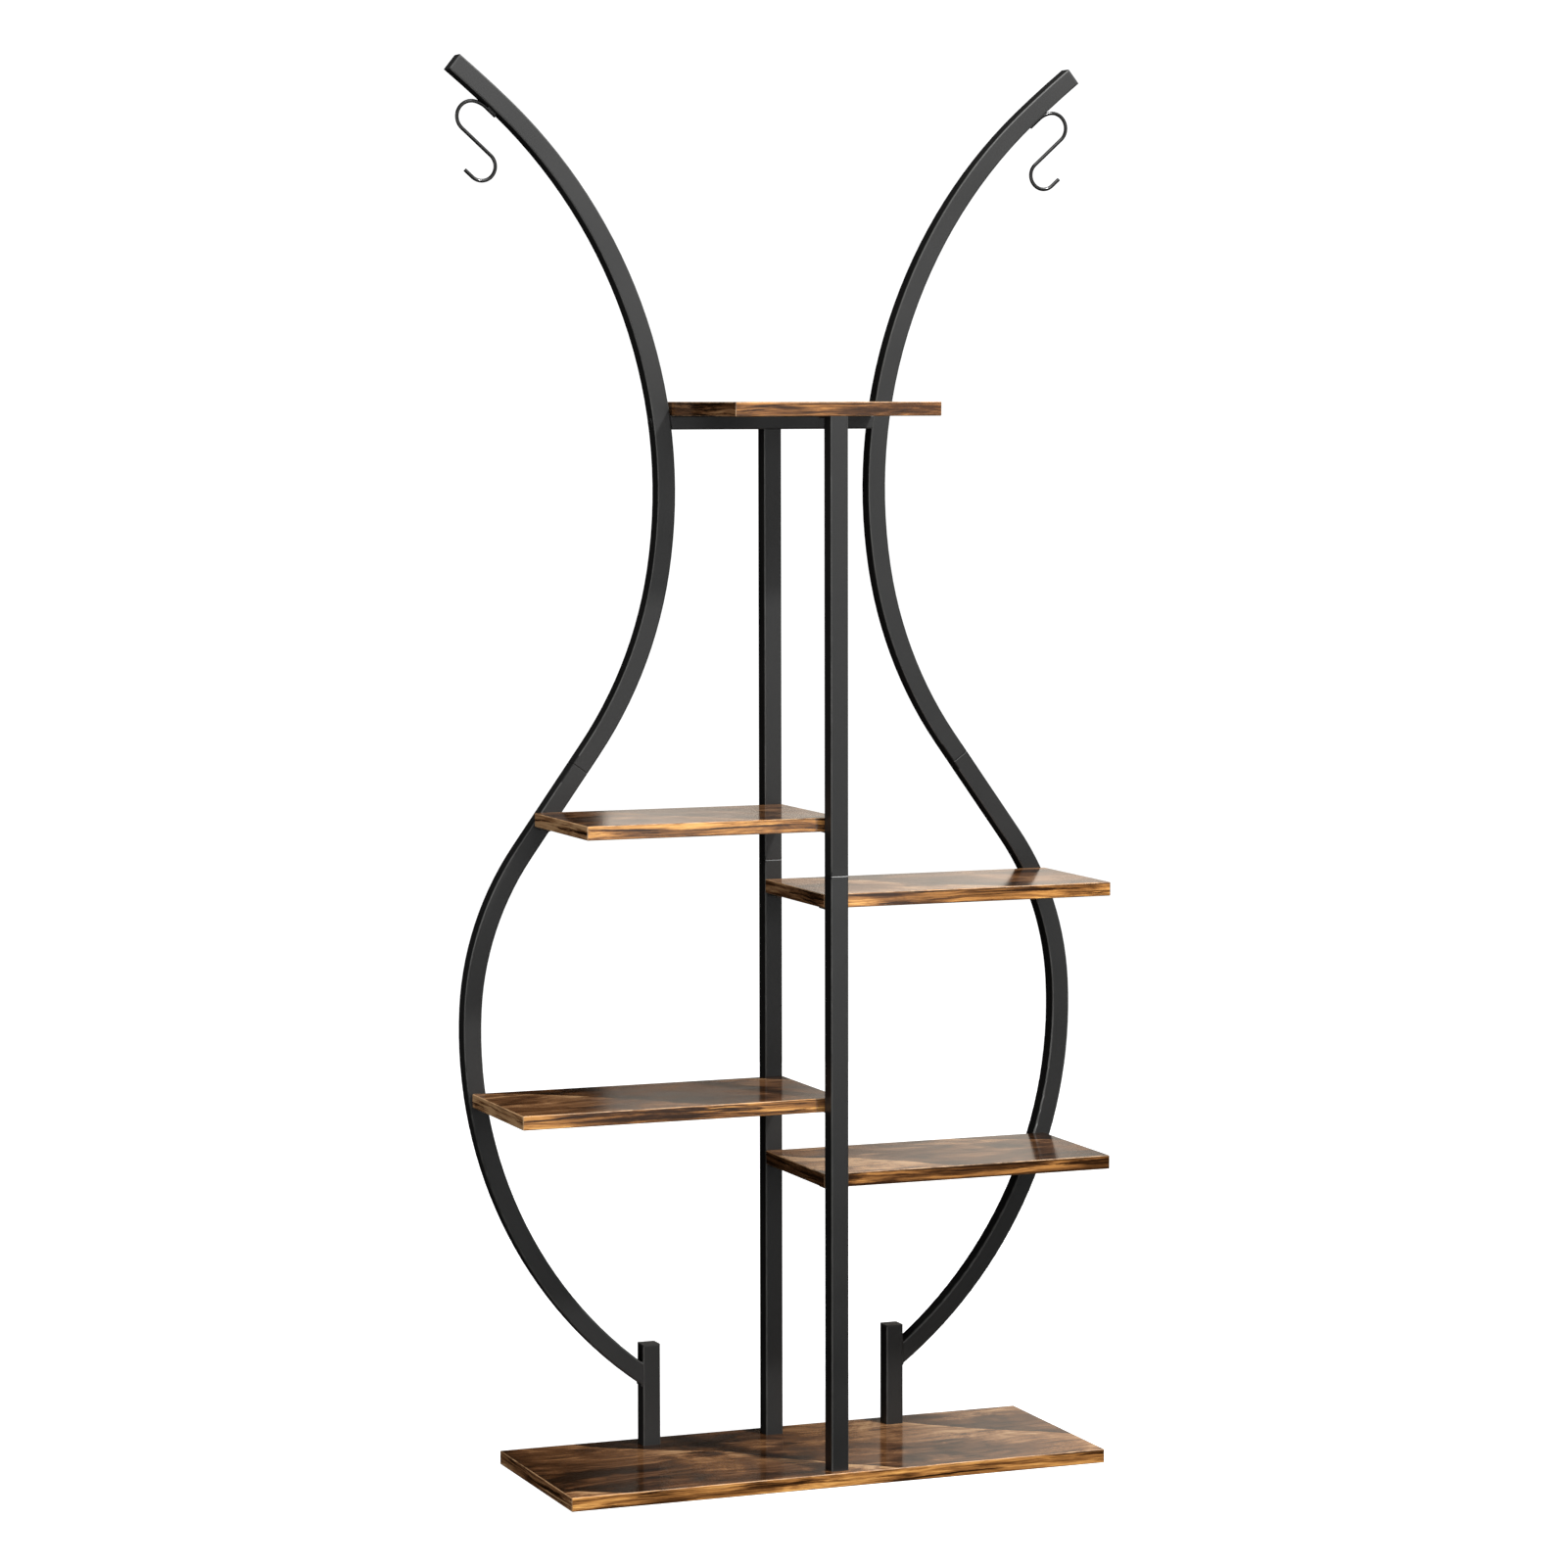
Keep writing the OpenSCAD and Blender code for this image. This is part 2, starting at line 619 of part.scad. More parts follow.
base_board();
top_shelf();
upper_left_shelf();
upper_right_shelf();
lower_left_shelf();
lower_right_shelf();
front_upright_lower();
front_upright_upper();
rear_upright_lower();
rear_upright_upper();
left_arm_lower();
left_arm_upper();
right_arm_lower();
right_arm_upper();
left_foot_post();
right_foot_post();
cross_bar();
left_hook();
right_hook();
front_upright_spigot();
rear_upright_spigot();
left_arm_spigot();
right_arm_spigot();
left_arm_cap();
right_arm_cap();
left_post_cap();
right_post_cap();
foot_plates();
base_bolts();
front_upright_tabs();
rear_upright_tabs();
arm_tabs();
shelf_screws();
top_shelf_screws();
cross_bar_plugs();
cross_bar_bolts();
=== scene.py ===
import math
from collections import namedtuple

import bmesh
import bpy
from mathutils import Matrix, Quaternion, Vector


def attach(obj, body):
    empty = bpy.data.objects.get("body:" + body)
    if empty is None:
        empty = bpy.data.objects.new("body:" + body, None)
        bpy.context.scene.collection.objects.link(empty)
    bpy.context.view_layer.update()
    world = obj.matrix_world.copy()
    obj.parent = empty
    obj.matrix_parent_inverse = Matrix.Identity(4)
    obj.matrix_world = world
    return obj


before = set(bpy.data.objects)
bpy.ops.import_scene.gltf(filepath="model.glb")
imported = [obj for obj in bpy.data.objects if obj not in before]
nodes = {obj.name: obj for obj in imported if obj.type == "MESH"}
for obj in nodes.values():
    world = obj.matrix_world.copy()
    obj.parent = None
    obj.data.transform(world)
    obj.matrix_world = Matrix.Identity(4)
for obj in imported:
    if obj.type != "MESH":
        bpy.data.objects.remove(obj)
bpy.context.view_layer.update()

scene = bpy.context.scene

# Camera at the photo's angle: the photo has no shift and a roll of a tenth of a degree
CAMERA_AT = Vector((-1.887, -4.720, 1.168))
TURN, TILT, ROLL = math.radians(21.58), math.radians(4.76), math.radians(-0.10)
FOCAL_LENGTH, SENSOR_WIDTH = 108.5, 36
FARTHEST_SEEN = 60


def add_camera():
    forward = Vector((math.sin(TURN) * math.cos(TILT),
                      math.cos(TURN) * math.cos(TILT),
                      -math.sin(TILT)))
    level = Vector((math.cos(TURN), -math.sin(TURN), 0))
    above = level.cross(forward)
    right = level * math.cos(ROLL) + above * math.sin(ROLL)
    up = right.cross(forward)
    data = bpy.data.cameras.new("camera")
    data.sensor_width = SENSOR_WIDTH
    data.lens = FOCAL_LENGTH
    data.clip_end = FARTHEST_SEEN
    camera = bpy.data.objects.new("camera", data)
    scene.collection.objects.link(camera)
    axes = Matrix((right, up, -forward)).transposed()
    camera.matrix_world = Matrix.Translation(CAMERA_AT) @ axes.to_4x4()
    scene.camera = camera


add_camera()
scene.view_settings.view_transform = "Standard"

# A layer of noise: its scale along each axis, its detail, roughness and distortion, and the part
# of its range that is spread over 0 to 1, evenly or smoothly
Layer = namedtuple("Layer", "scale detail rough distort low high smooth", defaults=[False])

# Nearly all of a plain noise lies between these
NOISE_LOW, NOISE_HIGH = 0.3, 0.7


# A material with one surface shader. Its methods add nodes, and take numbers, colours and other
# nodes' outputs as values.
class Shader:
    def __init__(self, name):
        self.material = bpy.data.materials.new(name)
        self.material.use_nodes = True
        self.tree = self.material.node_tree
        self.tree.nodes.clear()
        output = self.node("ShaderNodeOutputMaterial")
        self.surface = self.node("ShaderNodeBsdfPrincipled")
        self.tree.links.new(self.surface.outputs[0], output.inputs[0])
        coords = self.node("ShaderNodeTexCoord")
        self.place, self.normal = coords.outputs["Object"], coords.outputs["Normal"]

    def node(self, kind, **settings):
        node = self.tree.nodes.new(kind)
        for name, value in settings.items():
            setattr(node, name, value)
        return node

    def put(self, socket, value):
        if isinstance(value, bpy.types.NodeSocket):
            self.tree.links.new(value, socket)
        else:
            socket.default_value = value

    # Values for a node's inputs in their order
    def feed(self, node, *values):
        for socket, value in zip(node.inputs, values):
            self.put(socket, value)
        return node.outputs[0]

    # Values for a node's inputs by their names, with _ for a space
    def set(self, node, **values):
        for name, value in values.items():
            self.put(node.inputs[name.replace("_", " ")], value)

    def math(self, operation, *values):
        return self.feed(self.node("ShaderNodeMath", operation=operation), *values)

    def centred(self, value):
        return self.math("SUBTRACT", value, 0.5)

    # The start and each part's value times its amount, added up
    def total(self, start, *parts, clamp=False):
        result = start
        for value, amount in parts:
            result = self.math("MULTIPLY_ADD", value, amount, result)
        result.node.use_clamp = clamp
        return result

    def split(self, vector):
        node = self.node("ShaderNodeSeparateXYZ")
        self.put(node.inputs[0], vector)
        return node.outputs

    def join(self, x, y, z):
        return self.feed(self.node("ShaderNodeCombineXYZ"), x, y, z)

    def scaled(self, vector, by):
        return self.feed(self.node("ShaderNodeVectorMath", operation="MULTIPLY"), vector, by)

    def noise(self, vector, scale, detail, rough=0.5, distort=0.0):
        node = self.node("ShaderNodeTexNoise")
        self.set(node, Vector=vector, Scale=scale, Detail=detail, Roughness=rough,
                 Distortion=distort)
        return node.outputs[0]

    # The range from low to high, spread over the range from out_low to out_high
    def stretch(self, value, low, high, out_low=0.0, out_high=1.0, smooth=False):
        node = self.node("ShaderNodeMapRange",
                         interpolation_type="SMOOTHSTEP" if smooth else "LINEAR")
        return self.feed(node, value, low, high, out_low, out_high)

    def layer(self, vector, layer):
        noise = self.noise(self.scaled(vector, layer.scale), 1.0,
                           layer.detail, layer.rough, layer.distort)
        return self.stretch(noise, layer.low, layer.high, smooth=layer.smooth)

    def ramp(self, value, stops):
        node = self.node("ShaderNodeValToRGB")
        points = node.color_ramp.elements
        while len(points) < len(stops):
            points.new(0.5)
        for point, (at, colour) in zip(points, stops):
            point.position = at
            point.color = (*colour, 1)
        return self.feed(node, value)

    # From a to b; a mix node's sockets for colours come after those for its other kinds
    def mix(self, factor, a, b):
        node = self.node("ShaderNodeMix", data_type="RGBA")
        for index, value in ((0, factor), (6, a), (7, b)):
            self.put(node.inputs[index], value)
        return node.outputs[2]

    def bump(self, height, distance, strength):
        node = self.node("ShaderNodeBump")
        self.set(node, Strength=strength, Distance=distance, Height=height)
        self.set(self.surface, Normal=node.outputs[0])


# Rustic brown laminate. Its colours by tone, of the faces and ends and of the long edge bands.
TOP_COLOURS = [(0.0, (0.016, 0.0075, 0.0035)),
               (0.25, (0.050, 0.021, 0.0085)),
               (0.50, (0.115, 0.050, 0.0205)),
               (0.75, (0.260, 0.128, 0.056)),
               (1.0, (0.470, 0.280, 0.140))]
EDGE_COLOURS = [(0.0, (0.026, 0.010, 0.003)),
                (0.22, (0.070, 0.027, 0.008)),
                (0.46, (0.210, 0.088, 0.026)),
                (0.70, (0.460, 0.208, 0.058)),
                (1.0, (0.800, 0.430, 0.130))]
# The colour of the painted highlight on the boards' eased corners
EDGE_HIGHLIGHT_COLOUR = (0.52, 0.33, 0.18, 1.0)

# Tones before the layers are laid on
FACE_TONE, EDGE_TONE = 0.40, -0.08

# How far the print moves from board to board, so that no two are alike
PRINT_STEP_X, PRINT_STEP_Y, EDGE_STEP = 0.11, 0.73, 1.37

# The planks of the print: their width, the level direction across them, how wavy their joints are,
# and where a board's first joint lies and its step from board to board, as shares of the width
PLANK_WIDTH = 0.203
ACROSS_X, ACROSS_Y = 0.643, 0.766
JOINT_WAVE = 0.09
FIRST_JOINT, JOINT_STEP = 0.10, 0.13

# Their light and dark sides: from which share of the width, to which, and how steeply
LIGHT_SIDE, DARK_SIDE = (0.35, 1.0, 2.2), (0.45, 0.0, 1.6)

# Their busy parts: the range of a noise from calm to busy, and with it the amount of the figure
# and of the smudges, where calm and how much more where busy
BUSY_LOW, BUSY_HIGH = 0.42, 0.60
FIGURE_CALM, FIGURE_MORE = 0.14, 0.32
SMUDGES_CALM, SMUDGES_MORE = 0.3, 0.7

# The grain on them: how far it waves and ripples, how far apart two planks' grain is, and its
# layers
GRAIN_WAVE, GRAIN_RIPPLE = 0.06, 0.018
GRAIN_STEP = 3.7
RIPPLE_SCALE = (9, 22, 1)
FIGURE = Layer((5.5, 62, 1), 6.0, 0.60, 0.5, 0.36, 0.64)
STREAKS = Layer((9, 250, 1), 5.0, 0.62, 0.2, 0.34, 0.66)
PORES = Layer((45, 1100, 1), 3.0, 0.60, 0.0, 0.56, 0.70)
CLOUDS = Layer((10, 16, 1), 7.0, 0.64, 0.8, 0.36, 0.64)
SMUDGES = Layer((12, 26, 1), 7.0, 0.68, 1.1, 0.53, 0.66, smooth=True)

# Knots: how many there are in a metre each way, how crooked they are, and how far from the middle
# they begin and are darkest, as shares of the room that each has
KNOTS_X, KNOTS_Y = 5.5, 9.0
KNOT_WOBBLE = 0.30
KNOT_RIM, KNOT_HEART = 0.19, 0.04

# The edge bands: how far their streaks sway, and their layers
EDGE_SWAY = 0.008
RIBBONS = Layer((7.0, 210, 1), 6.0, 0.64, 0.7, 0.38, 0.62)
THREADS = Layer((26, 1300, 1), 4.0, 0.66, 0.4, 0.36, 0.64)
LENGTHS = Layer((6.5, 50, 1), 6.0, 0.64, 0.9, 0.37, 0.63)
DARK_LINES = Layer((8, 330, 1), 6.0, 0.64, 0.7, 0.53, 0.59, smooth=True)

# A surface whose normal has more than FACING along an axis faces that way. One that has less than
# FLAT along every axis is an eased corner, with a painted highlight of a share between the other
# two.
FACING, FLAT = 0.6, 0.9
LEAST_EDGE_HIGHLIGHT, MOST_EDGE_HIGHLIGHT = 0.15, 0.75

# Roughness of the faces and bands, from the dark to the light clouds
BOARD_ROUGHNESS = (0.15, 0.105)


# The faces: planks whose joints run to the front right, each joint light in front of it and dark
# behind it, with a wavy grain, clouds, smudges, fine pores and small dark knots. Returns the
# colour, the clouds and the relief.
def face_print(s, seed, shift, light_slope):
    x, y, _ = s.split(s.place)
    px = s.math("ADD", x, seed * PRINT_STEP_X)
    py = s.math("ADD", y, seed * PRINT_STEP_Y)
    board_place = s.join(px, py, seed)
    wave = s.centred(s.noise(board_place, scale=5.0, detail=2.0))

    lane = s.total(s.math("MULTIPLY", y, ACROSS_Y), (x, ACROSS_X), (wave, JOINT_WAVE))
    planks = s.math("ADD", s.math("DIVIDE", lane, PLANK_WIDTH), FIRST_JOINT + seed * JOINT_STEP)
    across, plank = s.math("FRACT", planks), s.math("FLOOR", planks)
    light, shade = (s.math("POWER", s.stretch(across, start, end), steepness)
                    for start, end, steepness in (LIGHT_SIDE, DARK_SIDE))

    plank_place = s.join(px, py, plank)
    ripple = s.noise(s.scaled(plank_place, RIPPLE_SCALE), scale=1.0, detail=3.0)
    bent_y = s.total(py, (ripple, GRAIN_RIPPLE), (wave, GRAIN_WAVE))
    grain_place = s.join(px, bent_y, s.math("MULTIPLY", plank, GRAIN_STEP))
    cloud_place = s.join(px, bent_y, seed)
    figure, streaks, pores = (s.layer(grain_place, layer) for layer in (FIGURE, STREAKS, PORES))
    clouds, smudges = (s.layer(cloud_place, layer) for layer in (CLOUDS, SMUDGES))
    busy = s.stretch(s.noise(plank_place, scale=8.0, detail=2.0), BUSY_LOW, BUSY_HIGH, smooth=True)
    figure_amount = s.total(FIGURE_CALM, (busy, FIGURE_MORE))
    smudged = s.math("MULTIPLY", smudges, s.total(SMUDGES_CALM, (busy, SMUDGES_MORE)))

    crooked = s.centred(s.noise(board_place, scale=70.0, detail=3.0))
    wobble = s.math("MULTIPLY", crooked, KNOT_WOBBLE)
    knots = s.node("ShaderNodeTexVoronoi", voronoi_dimensions="2D")
    s.set(knots, Scale=1.0,
          Vector=s.join(s.total(wobble, (px, KNOTS_X)), s.total(wobble, (py, KNOTS_Y)), 0.0))
    knot = s.stretch(knots.outputs["Distance"], KNOT_RIM, KNOT_HEART, smooth=True)

    tone = s.total(FACE_TONE + shift,
                   # Painted reflection and shade: the tone rises or falls towards the right
                   (x, light_slope),
                   (s.centred(figure), figure_amount),
                   (s.centred(clouds), 0.54),
                   (s.centred(streaks), 0.26),
                   (light, 0.40),
                   (shade, -0.26),
                   (smudged, -0.50),
                   (pores, -0.18),
                   (knot, -0.40),
                   clamp=True)
    return s.ramp(tone, TOP_COLOURS), clouds, s.total(streaks, (pores, -0.7))


# The edge bands: long wavy streaks, honey and dark, a few millimetres thick
def band_print(s, seed, on_end, shift, end_shift):
    x, y, z = s.split(s.place)
    along = s.math("ADD", s.total(x, (s.math("SUBTRACT", y, x), on_end)), seed * EDGE_STEP)
    wave = s.centred(s.noise(s.join(along, seed, 0.0), scale=7.0, detail=5.0))
    across = s.math("ADD", z, s.math("MULTIPLY", wave, EDGE_SWAY))
    strip = s.join(along, across, s.math("ADD", on_end, seed))
    tone = s.total(EDGE_TONE + shift,
                   # Partly painted light and shade: the end bands lighter or darker by the board's
                   # own amount
                   (on_end, end_shift),
                   (s.layer(strip, RIBBONS), 0.46),
                   (s.layer(strip, THREADS), 0.22),
                   (s.layer(strip, LENGTHS), 0.58),
                   (s.layer(strip, DARK_LINES), -0.58),
                   clamp=True)
    return s.mix(on_end, s.ramp(tone, EDGE_COLOURS), s.ramp(tone, TOP_COLOURS))


# A board's whole finish, with a patchy painted highlight on its eased corners
def laminate(name, seed, edge, end, face, painted_light_slope):
    s = Shader(name)
    nx, ny, nz = (s.math("ABSOLUTE", part) for part in s.split(s.normal))
    on_end = s.math("GREATER_THAN", nx, FACING)
    on_band = s.math("MAXIMUM", on_end, s.math("GREATER_THAN", ny, FACING))
    face_colour, clouds, relief = face_print(s, seed, face, painted_light_slope)
    colour = s.mix(on_band, face_colour, band_print(s, seed, on_end, edge, end))
    largest = s.math("MAXIMUM", nx, s.math("MAXIMUM", ny, nz))
    edge_highlight_patches = s.stretch(s.noise(s.place, scale=60.0, detail=4.0, rough=0.6), 0.38, 0.62,
                    LEAST_EDGE_HIGHLIGHT, MOST_EDGE_HIGHLIGHT)
    # Painted highlight: the eased corners are painted paler in patches
    edge_highlight = s.math("MULTIPLY", s.math("LESS_THAN", largest, FLAT), edge_highlight_patches)
    s.set(s.surface,
          Base_Color=s.mix(edge_highlight, colour, EDGE_HIGHLIGHT_COLOUR),
          Roughness=s.stretch(clouds, 0.0, 1.0, *BOARD_ROUGHNESS))
    s.surface.inputs["Specular IOR Level"].default_value = 0.20
    s.bump(relief, distance=0.00001, strength=0.3)
    return s.material


# The height of the tubes' plug joints, and how far from it the painted corner highlight is left
# out
UPRIGHT_JOINT, ARM_JOINT = (0.656, 0.004), (0.762, 0.014)
# How much a tube's rounded corner faces the front or back where the painted highlight on it begins
# and where that ends, each from none of it to all of it, and how strong its weakest patches are
# beside the others
CORNER_BEGINS, CORNER_ENDS = (0.30, 0.50), (0.97, 0.86)
LEAST_CORNER_HIGHLIGHT = 0.5
COAT_BLACKS = [(NOISE_LOW, (0.0076, 0.0076, 0.0073)), (NOISE_HIGH, (0.0112, 0.0110, 0.0106))]
# The colour of the painted highlight along the corners
CORNER_HIGHLIGHT_COLOUR = (0.075, 0.075, 0.072, 1.0)


# Matt black powder coat with its fine orange peel, and a painted highlight along the tubes'
# rounded corners but not where two tubes meet
def powder_coat(name, smoothest, roughest, corner_highlight_strength=1.0, joint=UPRIGHT_JOINT):
    s = Shader(name)
    joint_height, joint_reach = joint
    facing = s.math("ABSOLUTE", s.split(s.normal)[1])
    corner_highlight = s.math("MULTIPLY",
                    s.stretch(facing, *CORNER_BEGINS), s.stretch(facing, *CORNER_ENDS))
    from_joint = s.math("ABSOLUTE", s.math("SUBTRACT", s.split(s.place)[2], joint_height))
    corner_highlight = s.math("MULTIPLY", corner_highlight, s.math("GREATER_THAN", from_joint, joint_reach))
    corner_highlight_patches = s.stretch(s.noise(s.place, scale=45, detail=3.0), NOISE_LOW, NOISE_HIGH,
                        LEAST_CORNER_HIGHLIGHT * corner_highlight_strength, corner_highlight_strength)
    cloud = s.noise(s.place, scale=9, detail=3.0)
    # The base colour is painted paler along the rounded corners: a painted highlight
    s.set(s.surface,
          Base_Color=s.mix(s.math("MULTIPLY", corner_highlight, corner_highlight_patches), s.ramp(cloud, COAT_BLACKS),
                           CORNER_HIGHLIGHT_COLOUR),
          Roughness=s.stretch(cloud, NOISE_LOW, NOISE_HIGH, smoothest, roughest))
    s.surface.inputs["Specular IOR Level"].default_value = 0.42
    s.bump(s.noise(s.place, scale=1400, detail=2.0), distance=0.00001, strength=0.25)
    return s.material


# Moulded black plastic
def plastic(name):
    s = Shader(name)
    blacks = [(NOISE_LOW, (0.014, 0.014, 0.014)), (NOISE_HIGH, (0.020, 0.020, 0.020))]
    grit = s.noise(s.place, scale=1600, detail=2.0, rough=0.6)
    s.set(s.surface,
          Base_Color=s.ramp(s.noise(s.place, scale=30, detail=2.0), blacks),
          Roughness=s.stretch(grit, NOISE_LOW, NOISE_HIGH, 0.50, 0.62))
    s.bump(grit, distance=0.00005, strength=0.5)
    return s.material


# Zinc plating: a satin metal with faint blue and yellow patches
def zinc_plate(name):
    s = Shader(name)
    greys = [(NOISE_LOW, (0.50, 0.51, 0.54)),
             (0.55, (0.60, 0.60, 0.60)),
             (0.75, (0.62, 0.60, 0.53))]
    satin = s.noise(s.place, scale=700, detail=3.0, rough=0.6)
    s.set(s.surface,
          Base_Color=s.ramp(s.noise(s.place, scale=160, detail=3.0, rough=0.55), greys),
          Roughness=s.stretch(satin, NOISE_LOW, NOISE_HIGH, 0.26, 0.42))
    s.surface.inputs["Metallic"].default_value = 1.0
    s.bump(s.noise(s.place, scale=1300, detail=2.0), distance=0.00003, strength=0.4)
    return s.material


# Boards, each with how much lighter than plain its edge bands are, its end bands beside those, its
# faces, and its faces per metre to the right. The faces' tones and slopes are partly the print's
# own tone and partly painted reflection and shade: lighter to the right on the base and the upper
# left shelf, where the boards mirror more light, and darker to the right on the lower shelves,
# where they lie in shade. The end bands' tones are partly painted light and shade too: higher on
# the open left ends, lower on the right shelves' ends, which lie in shade behind the front
# upright.
BOARDS = {
    "base_board": dict(edge=0.04, end=0.18, face=0.02, painted_light_slope=0.60),
    "top_shelf": dict(edge=-0.10, end=-0.15, face=-0.04, painted_light_slope=0.0),
    "upper_left_shelf": dict(edge=-0.02, end=0.38, face=0.08, painted_light_slope=0.4),
    "upper_right_shelf": dict(edge=0.06, end=-0.04, face=0.08, painted_light_slope=0.0),
    "lower_left_shelf": dict(edge=-0.13, end=0.46, face=-0.14, painted_light_slope=-0.4),
    "lower_right_shelf": dict(edge=-0.25, end=0.05, face=0.31, painted_light_slope=-1.6),
}

# The coat of the frame, and the nodes that have another finish
coat = powder_coat("black_powder_coat", 0.40, 0.50)
OTHER_FINISHES = [
    (plastic("black_plastic"),
     ["left_arm_cap", "right_arm_cap", "left_post_cap", "right_post_cap"]),
    (zinc_plate("zinc_plate"),
     ["front_upright_spigot", "rear_upright_spigot", "left_arm_spigot", "right_arm_spigot",
      "foot_plates", "base_bolts", "shelf_screws", "top_shelf_screws", "cross_bar_plugs"]),
    (powder_coat("smoother_powder_coat", 0.29, 0.37), ["front_upright_lower"]),
    (powder_coat("glossy_wire_coat", 0.16, 0.24, corner_highlight_strength=0.0), ["left_hook", "right_hook"]),
    (powder_coat("arm_powder_coat", 0.40, 0.50, joint=ARM_JOINT),
     ["left_arm_upper", "left_arm_lower", "right_arm_upper", "right_arm_lower"]),
]
finishes = {name: finish for finish, names in OTHER_FINISHES for name in names}
for seed, (name, lighter) in enumerate(BOARDS.items(), start=1):
    finishes[name] = laminate("laminate_" + name, seed, **lighter)
for name, node in nodes.items():
    for material_slot in node.material_slots:
        material_slot.material = finishes.get(name, coat)

# Weld beads: rods along straight paths, with the small ripples that a weld leaves. A rod is made
# of rings of points, five to a ripple, and narrows at each end to a blunt tip.
RING_POINTS, LEAST_RINGS, RINGS_PER_RIPPLE = 12, 12, 5
RIPPLE_LENGTH, RIPPLE_DEPTH = 0.0013, 0.10
BLUNTNESS = 0.35


def add_bead(mesh, start, end, radius):
    length = (end - start).length
    direction = (end - start) / length
    side = direction.orthogonal().normalized()
    other = direction.cross(side)
    angles = [2 * math.pi * k / RING_POINTS for k in range(RING_POINTS)]
    spokes = [side * math.cos(a) + other * math.sin(a) for a in angles]
    count = max(LEAST_RINGS, int(length / (RIPPLE_LENGTH / RINGS_PER_RIPPLE)))
    rings = []
    for i in range(count + 1):
        along = length * i / count
        fade = min(1.0, (min(along, length - along) + radius * BLUNTNESS) / radius)
        ripple = RIPPLE_DEPTH * abs(math.sin(math.pi * along / RIPPLE_LENGTH))
        ring_radius = radius * math.sqrt(fade) * (1 - RIPPLE_DEPTH + ripple)
        centre = start + direction * along
        rings.append([mesh.verts.new(centre + spoke * ring_radius) for spoke in spokes])
    for low, high in zip(rings, rings[1:]):
        for k in range(RING_POINTS):
            after = (k + 1) % RING_POINTS
            mesh.faces.new((low[k], low[after], high[after], high[k]))
    mesh.faces.new(list(reversed(rings[0])))
    mesh.faces.new(rings[-1])


def welds(name, paths, radius):
    mesh = bmesh.new()
    for start, end in paths:
        add_bead(mesh, Vector(start), Vector(end), radius)
    bmesh.ops.recalc_face_normals(mesh, faces=mesh.faces)
    data = bpy.data.meshes.new(name)
    mesh.to_mesh(data)
    mesh.free()
    for face in data.polygons:
        face.use_smooth = True
    data.materials.append(coat)
    piece = bpy.data.objects.new(name, data)
    scene.collection.objects.link(piece)
    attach(piece, "root")


# Where each bent tube lands on the outer face of its foot post, over and under the tube. REAR_Y is
# the middle plane of both tubes.
REAR_Y = 0.092
POST_FACE_X, POST_WELD_HALF = 0.1547, 0.0085
POST_WELD_HEIGHTS = (0.1071, 0.0822)
welds("foot_post_welds",
      [((side * POST_FACE_X, REAR_Y - POST_WELD_HALF, z),
        (side * POST_FACE_X, REAR_Y + POST_WELD_HALF, z))
       for side in (-1, 1) for z in POST_WELD_HEIGHTS],
      radius=0.0016)

# Under the edge of each shelf tab, where it meets its tube. The tabs are told apart by side and by
# height in steps of 4 mm. Those of the right shelves lie across two steps, so they have a second
# bead along their upper edge, hidden between tab, board and tube.
SIDE_TABS_X = 0.06
STEPS_PER_METRE = 250
TAB_WELD_INSET = 0.001


def tab_edges(node, at_low_y):
    tabs = {}
    for vertex in nodes[node].data.vertices:
        x, y, z = vertex.co
        side = (x > SIDE_TABS_X) - (x < -SIDE_TABS_X)
        tabs.setdefault((side, round(z * STEPS_PER_METRE)), []).append((x, y, z))
    edges = []
    for points in tabs.values():
        low_x, low_y, low_z = (min(c) for c in zip(*points))
        high_x, high_y, _ = (max(c) for c in zip(*points))
        y = low_y if at_low_y else high_y
        edges.append(((low_x + TAB_WELD_INSET, y, low_z), (high_x - TAB_WELD_INSET, y, low_z)))
    return edges


welds("tab_welds",
      tab_edges("front_upright_tabs", at_low_y=True)
      + tab_edges("rear_upright_tabs", at_low_y=False)
      + tab_edges("arm_tabs", at_low_y=False),
      radius=0.0009)

# Along both sides of each hook's wire, under the tip of its tube. The beads lie against the
# underside of the tube's last bend, at this radius round its centre and at this angle from
# straight above it.
TIP_X, TIP_Z, TIP_RADIUS = 1.0755, 0.6146, 1.1393
TIP_TURN = math.radians(-41.81)
WIRE_SIDE, HOOK_WELD_HALF = 0.0019, 0.0058


def hook_weld_end(side, edge, along):
    x = TIP_X + math.sin(TIP_TURN) * TIP_RADIUS + math.cos(TIP_TURN) * along
    z = TIP_Z + math.cos(TIP_TURN) * TIP_RADIUS - math.sin(TIP_TURN) * along
    return side * x, REAR_Y + edge * WIRE_SIDE, z


welds("hook_welds",
      [[hook_weld_end(side, edge, along) for along in (-HOOK_WELD_HALF, HOOK_WELD_HALF)]
       for side in (-1, 1) for edge in (-1, 1)],
      radius=0.0012)

# Floor: pale and plain, and so even and near the world's brightness that it shows no horizon
FLOOR_RADIUS, FLOOR_CORNERS = 3.1, 96
BACKDROP_GLOW = 1.1


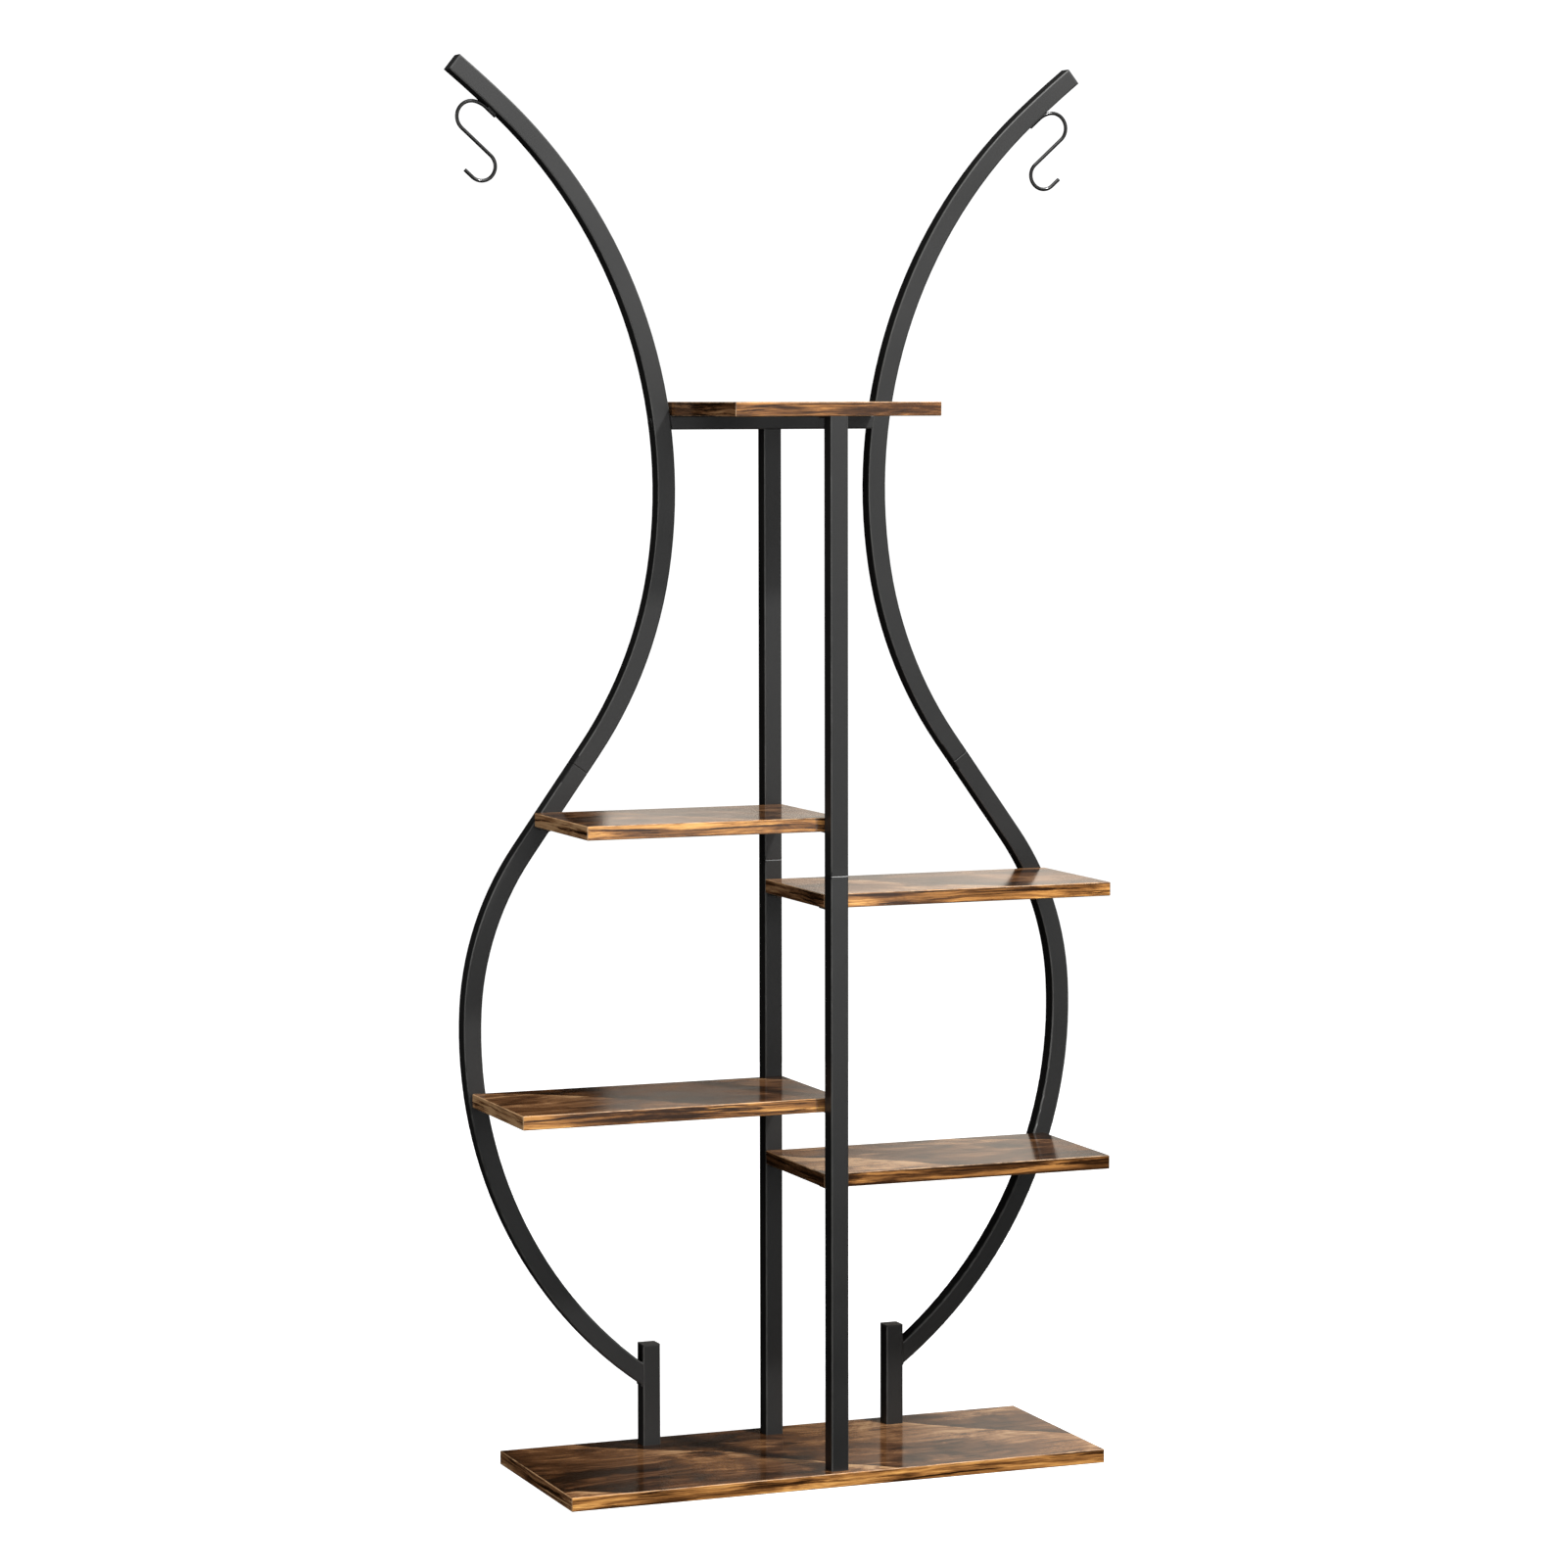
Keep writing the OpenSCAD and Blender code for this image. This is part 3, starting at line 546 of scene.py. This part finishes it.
def add_floor():
    s = Shader("floor")
    greys = [(NOISE_LOW, (0.30, 0.30, 0.30)), (NOISE_HIGH, (0.32, 0.32, 0.32))]
    s.set(s.surface, Base_Color=s.ramp(s.noise(s.place, scale=3, detail=3.0), greys))
    s.surface.inputs["Roughness"].default_value = 0.9
    s.surface.inputs["Emission Color"].default_value = (1, 1, 1, 1)
    s.surface.inputs["Emission Strength"].default_value = BACKDROP_GLOW
    angles = [2 * math.pi * k / FLOOR_CORNERS for k in range(FLOOR_CORNERS)]
    edge = [(FLOOR_RADIUS * math.cos(a), FLOOR_RADIUS * math.sin(a), 0) for a in angles]
    data = bpy.data.meshes.new("floor")
    data.from_pydata(edge, [], [tuple(range(FLOOR_CORNERS))])
    data.materials.append(s.material)
    piece = bpy.data.objects.new("floor", data)
    scene.collection.objects.link(piece)
    piece.visible_diffuse = False
    piece.visible_glossy = False
    piece.visible_shadow = False


add_floor()

WARM, WHITE = (1.0, 0.90, 0.78), (1, 1, 1)


# Softboxes give all the light; the world and the floor only show behind the object. Size is width
# and height, and turned is in degrees round the light's own axis.
def softbox(name, at, target, size, watts, turned=0.0, colour=WHITE):
    data = bpy.data.lights.new(name, "AREA")
    data.shape = "RECTANGLE"
    data.size, data.size_y = size
    data.energy = watts
    data.color = colour
    lamp = bpy.data.objects.new(name, data)
    scene.collection.objects.link(lamp)
    lamp.location = at
    facing = (Vector(target) - Vector(at)).to_track_quat("-Z", "Y")
    lamp.rotation_euler = (facing @ Quaternion((0, 0, 1), math.radians(turned))).to_euler()
    lamp.visible_camera = False


# From the front right, so that the front upright shades the ends of the left shelves' edges
softbox("key", at=(1.40, -2.8, 3.9), target=(0, 0, 0.9), size=(0.25, 0.25), watts=246)
softbox("overhead", at=(0.7, -1.0, 3.5), target=(0.1, -0.1, 0), size=(2.6, 2.6), watts=110)
softbox("front_high", at=(0.6, -4.2, 2.1), target=(0.6, 0, 2.1), size=(3.0, 2.4), watts=45)
softbox("front_low", at=(1.12, -4.2, 0.50), target=(1.12, 0, 0.50), size=(1.5, 1.5), watts=24)
# Low and near the camera, partly under the floor, which doesn't stop it: the tubes' rounded
# corners mirror it as thin light lines
softbox("edge_light", at=(-1.7, -4.2, -0.1), target=(0, 0, 0.7), size=(1.2, 1.6), watts=34)
softbox("back_right", at=(3.1, 3.4, 1.2), target=(0.2, 0, 0.8), size=(1.6, 2.0), watts=9)
# The low boards mirror the slanted card, and only at their right ends; the high ones mirror the
# level one
softbox("back_slant", at=(1.73, 3.4, 0.885), target=(1.73, 0, 0.885), size=(1.8, 0.3), watts=1.2,
        turned=36.9, colour=WARM)
softbox("back_level", at=(1.82, 3.4, 1.62), target=(1.82, 0, 1.62), size=(1.70, 1.20), watts=7.8,
        colour=WARM)
softbox("left_fill", at=(-3.4, -0.6, 1.4), target=(0, 0, 0.9), size=(1.6, 2.0), watts=50)

world = bpy.data.worlds.new("world")
scene.world = world
world.use_nodes = True
background = world.node_tree.nodes["Background"]
background.inputs["Color"].default_value = (1, 1, 1, 1)
background.inputs["Strength"].default_value = BACKDROP_GLOW
world.cycles_visibility.diffuse = False
world.cycles_visibility.glossy = False
